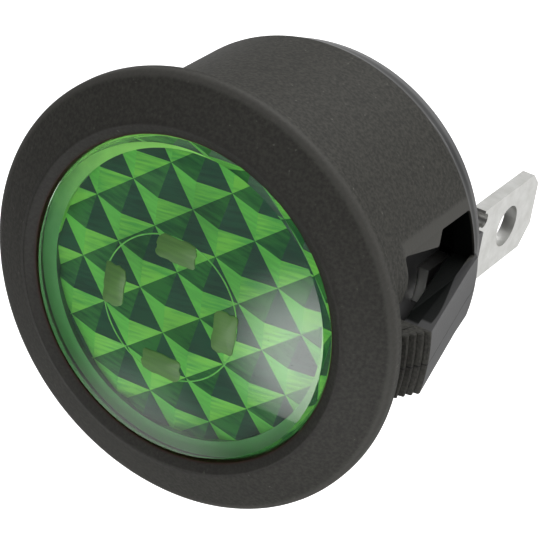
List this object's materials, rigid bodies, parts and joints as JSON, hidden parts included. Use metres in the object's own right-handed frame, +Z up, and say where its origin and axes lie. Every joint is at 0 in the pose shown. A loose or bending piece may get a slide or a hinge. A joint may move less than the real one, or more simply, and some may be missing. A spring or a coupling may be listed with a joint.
{
  "type": "panel pilot light",
  "caption": "Round snap-in pilot light for a panel hole: black flanged housing with sprung side legs, domed prismatic green lens, lamp inside and flat blade terminals at the rear.",
  "frame": {"origin": "on the lens axis, in the plane of the flange's rear face, which seats on the panel", "axes": "the lens faces -Y, the body and terminals run to +Y, the snap legs and terminals lie along X, +Z is up"},
  "size_m": [0.0268, 0.0264, 0.0258],
  "materials": {
    "housing_plastic": "fine spark-eroded texture",
    "green_lens": "clear green polycarbonate, polished",
    "holder_plastic": "satin",
    "lamp_glass": "clear",
    "electrode_metal": "satin",
    "tinned_brass": "tin-plated, satin",
    "tinned_wire": "satin",
    "resistor_body": "lacquered",
    "solder": "bright"
  },
  "bodies": {
    "root": {"housing": "housing_plastic", "lens": "green_lens", "lamp_holder": "holder_plastic", "lamp_bulb": "lamp_glass", "electrode_left": "electrode_metal", "electrode_right": "electrode_metal", "terminal_left": "tinned_brass", "terminal_right": "tinned_brass", "lamp_lead": "tinned_wire", "resistor": "resistor_body", "resistor_lead_lamp": "tinned_wire", "resistor_lead_terminal": "tinned_wire", "solder_left": "solder", "solder_right": "solder"}
  },
  "joints": []
}
